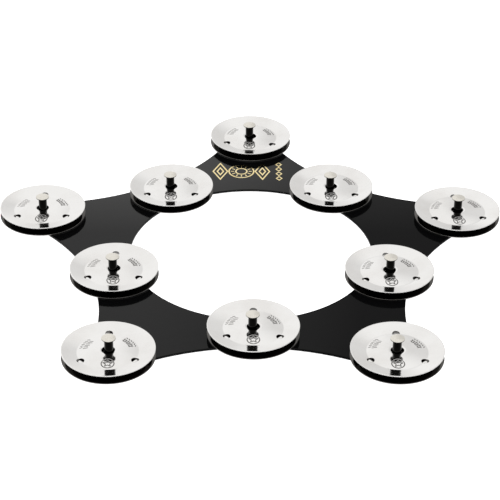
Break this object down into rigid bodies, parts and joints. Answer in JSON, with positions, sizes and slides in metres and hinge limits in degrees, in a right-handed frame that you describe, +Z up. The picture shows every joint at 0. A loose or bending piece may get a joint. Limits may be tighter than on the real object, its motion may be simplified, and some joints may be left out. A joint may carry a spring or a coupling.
{
  "type": "hi-hat tambourine",
  "caption": "Flat star-shaped tambourine: a thin ring plate with headed posts at its tips and valleys, each holding a loose pair of steel jingles, laid on a hi-hat cymbal.",
  "frame": {"origin": "centre of the centre hole at the plate's underside, the plane that rests on the cymbal", "axes": "+Z up along the posts, +Y towards the first tip, +X to the right seen from above with +Y away from the viewer"},
  "size_m": [0.2944, 0.282, 0.0138],
  "materials": {
    "plate": "gloss black",
    "post": "polished",
    "screw": "bright zinc",
    "jingle": "bright satin polish"
  },
  "bodies": {
    "frame_plate": {"plate": "plate", "post_tip_1": "post", "screw_tip_1": "screw", "post_valley_1": "post", "screw_valley_1": "screw", "post_tip_2": "post", "screw_tip_2": "screw", "post_valley_2": "post", "screw_valley_2": "screw", "post_tip_3": "post", "screw_tip_3": "screw", "post_valley_3": "post", "screw_valley_3": "screw", "post_tip_4": "post", "screw_tip_4": "screw", "post_valley_4": "post", "screw_valley_4": "screw", "post_tip_5": "post", "screw_tip_5": "screw", "post_valley_5": "post", "screw_valley_5": "screw"},
    "lower_jingle_tip_1_body": {"lower_jingle_tip_1": "jingle"},
    "upper_jingle_tip_1_body": {"upper_jingle_tip_1": "jingle"},
    "lower_jingle_valley_1_body": {"lower_jingle_valley_1": "jingle"},
    "upper_jingle_valley_1_body": {"upper_jingle_valley_1": "jingle"},
    "lower_jingle_tip_2_body": {"lower_jingle_tip_2": "jingle"},
    "upper_jingle_tip_2_body": {"upper_jingle_tip_2": "jingle"},
    "lower_jingle_valley_2_body": {"lower_jingle_valley_2": "jingle"},
    "upper_jingle_valley_2_body": {"upper_jingle_valley_2": "jingle"},
    "lower_jingle_tip_3_body": {"lower_jingle_tip_3": "jingle"},
    "upper_jingle_tip_3_body": {"upper_jingle_tip_3": "jingle"},
    "lower_jingle_valley_3_body": {"lower_jingle_valley_3": "jingle"},
    "upper_jingle_valley_3_body": {"upper_jingle_valley_3": "jingle"},
    "lower_jingle_tip_4_body": {"lower_jingle_tip_4": "jingle"},
    "upper_jingle_tip_4_body": {"upper_jingle_tip_4": "jingle"},
    "lower_jingle_valley_4_body": {"lower_jingle_valley_4": "jingle"},
    "upper_jingle_valley_4_body": {"upper_jingle_valley_4": "jingle"},
    "lower_jingle_tip_5_body": {"lower_jingle_tip_5": "jingle"},
    "upper_jingle_tip_5_body": {"upper_jingle_tip_5": "jingle"},
    "lower_jingle_valley_5_body": {"lower_jingle_valley_5": "jingle"},
    "upper_jingle_valley_5_body": {"upper_jingle_valley_5": "jingle"}
  },
  "joints": [
    {"name": "lower_jingle_tip_1_lift", "type": "slide", "parent": "frame_plate", "child": "lower_jingle_tip_1_body", "axis": [0, 0, 1], "range_m": [0, 0.0032]},
    {"name": "upper_jingle_tip_1_lift", "type": "slide", "parent": "lower_jingle_tip_1_body", "child": "upper_jingle_tip_1_body", "axis": [0, 0, 1], "range_m": [0, 0.0032]},
    {"name": "lower_jingle_valley_1_lift", "type": "slide", "parent": "frame_plate", "child": "lower_jingle_valley_1_body", "axis": [0, 0, 1], "range_m": [0, 0.0032]},
    {"name": "upper_jingle_valley_1_lift", "type": "slide", "parent": "lower_jingle_valley_1_body", "child": "upper_jingle_valley_1_body", "axis": [0, 0, 1], "range_m": [0, 0.0032]},
    {"name": "lower_jingle_tip_2_lift", "type": "slide", "parent": "frame_plate", "child": "lower_jingle_tip_2_body", "axis": [0, 0, 1], "range_m": [0, 0.0032]},
    {"name": "upper_jingle_tip_2_lift", "type": "slide", "parent": "lower_jingle_tip_2_body", "child": "upper_jingle_tip_2_body", "axis": [0, 0, 1], "range_m": [0, 0.0032]},
    {"name": "lower_jingle_valley_2_lift", "type": "slide", "parent": "frame_plate", "child": "lower_jingle_valley_2_body", "axis": [0, 0, 1], "range_m": [0, 0.0032]},
    {"name": "upper_jingle_valley_2_lift", "type": "slide", "parent": "lower_jingle_valley_2_body", "child": "upper_jingle_valley_2_body", "axis": [0, 0, 1], "range_m": [0, 0.0032]},
    {"name": "lower_jingle_tip_3_lift", "type": "slide", "parent": "frame_plate", "child": "lower_jingle_tip_3_body", "axis": [0, 0, 1], "range_m": [0, 0.0032]},
    {"name": "upper_jingle_tip_3_lift", "type": "slide", "parent": "lower_jingle_tip_3_body", "child": "upper_jingle_tip_3_body", "axis": [0, 0, 1], "range_m": [0, 0.0032]},
    {"name": "lower_jingle_valley_3_lift", "type": "slide", "parent": "frame_plate", "child": "lower_jingle_valley_3_body", "axis": [0, 0, 1], "range_m": [0, 0.0032]},
    {"name": "upper_jingle_valley_3_lift", "type": "slide", "parent": "lower_jingle_valley_3_body", "child": "upper_jingle_valley_3_body", "axis": [0, 0, 1], "range_m": [0, 0.0032]},
    {"name": "lower_jingle_tip_4_lift", "type": "slide", "parent": "frame_plate", "child": "lower_jingle_tip_4_body", "axis": [0, 0, 1], "range_m": [0, 0.0032]},
    {"name": "upper_jingle_tip_4_lift", "type": "slide", "parent": "lower_jingle_tip_4_body", "child": "upper_jingle_tip_4_body", "axis": [0, 0, 1], "range_m": [0, 0.0032]},
    {"name": "lower_jingle_valley_4_lift", "type": "slide", "parent": "frame_plate", "child": "lower_jingle_valley_4_body", "axis": [0, 0, 1], "range_m": [0, 0.0032]},
    {"name": "upper_jingle_valley_4_lift", "type": "slide", "parent": "lower_jingle_valley_4_body", "child": "upper_jingle_valley_4_body", "axis": [0, 0, 1], "range_m": [0, 0.0032]},
    {"name": "lower_jingle_tip_5_lift", "type": "slide", "parent": "frame_plate", "child": "lower_jingle_tip_5_body", "axis": [0, 0, 1], "range_m": [0, 0.0032]},
    {"name": "upper_jingle_tip_5_lift", "type": "slide", "parent": "lower_jingle_tip_5_body", "child": "upper_jingle_tip_5_body", "axis": [0, 0, 1], "range_m": [0, 0.0032]},
    {"name": "lower_jingle_valley_5_lift", "type": "slide", "parent": "frame_plate", "child": "lower_jingle_valley_5_body", "axis": [0, 0, 1], "range_m": [0, 0.0032]},
    {"name": "upper_jingle_valley_5_lift", "type": "slide", "parent": "lower_jingle_valley_5_body", "child": "upper_jingle_valley_5_body", "axis": [0, 0, 1], "range_m": [0, 0.0032]}
  ]
}
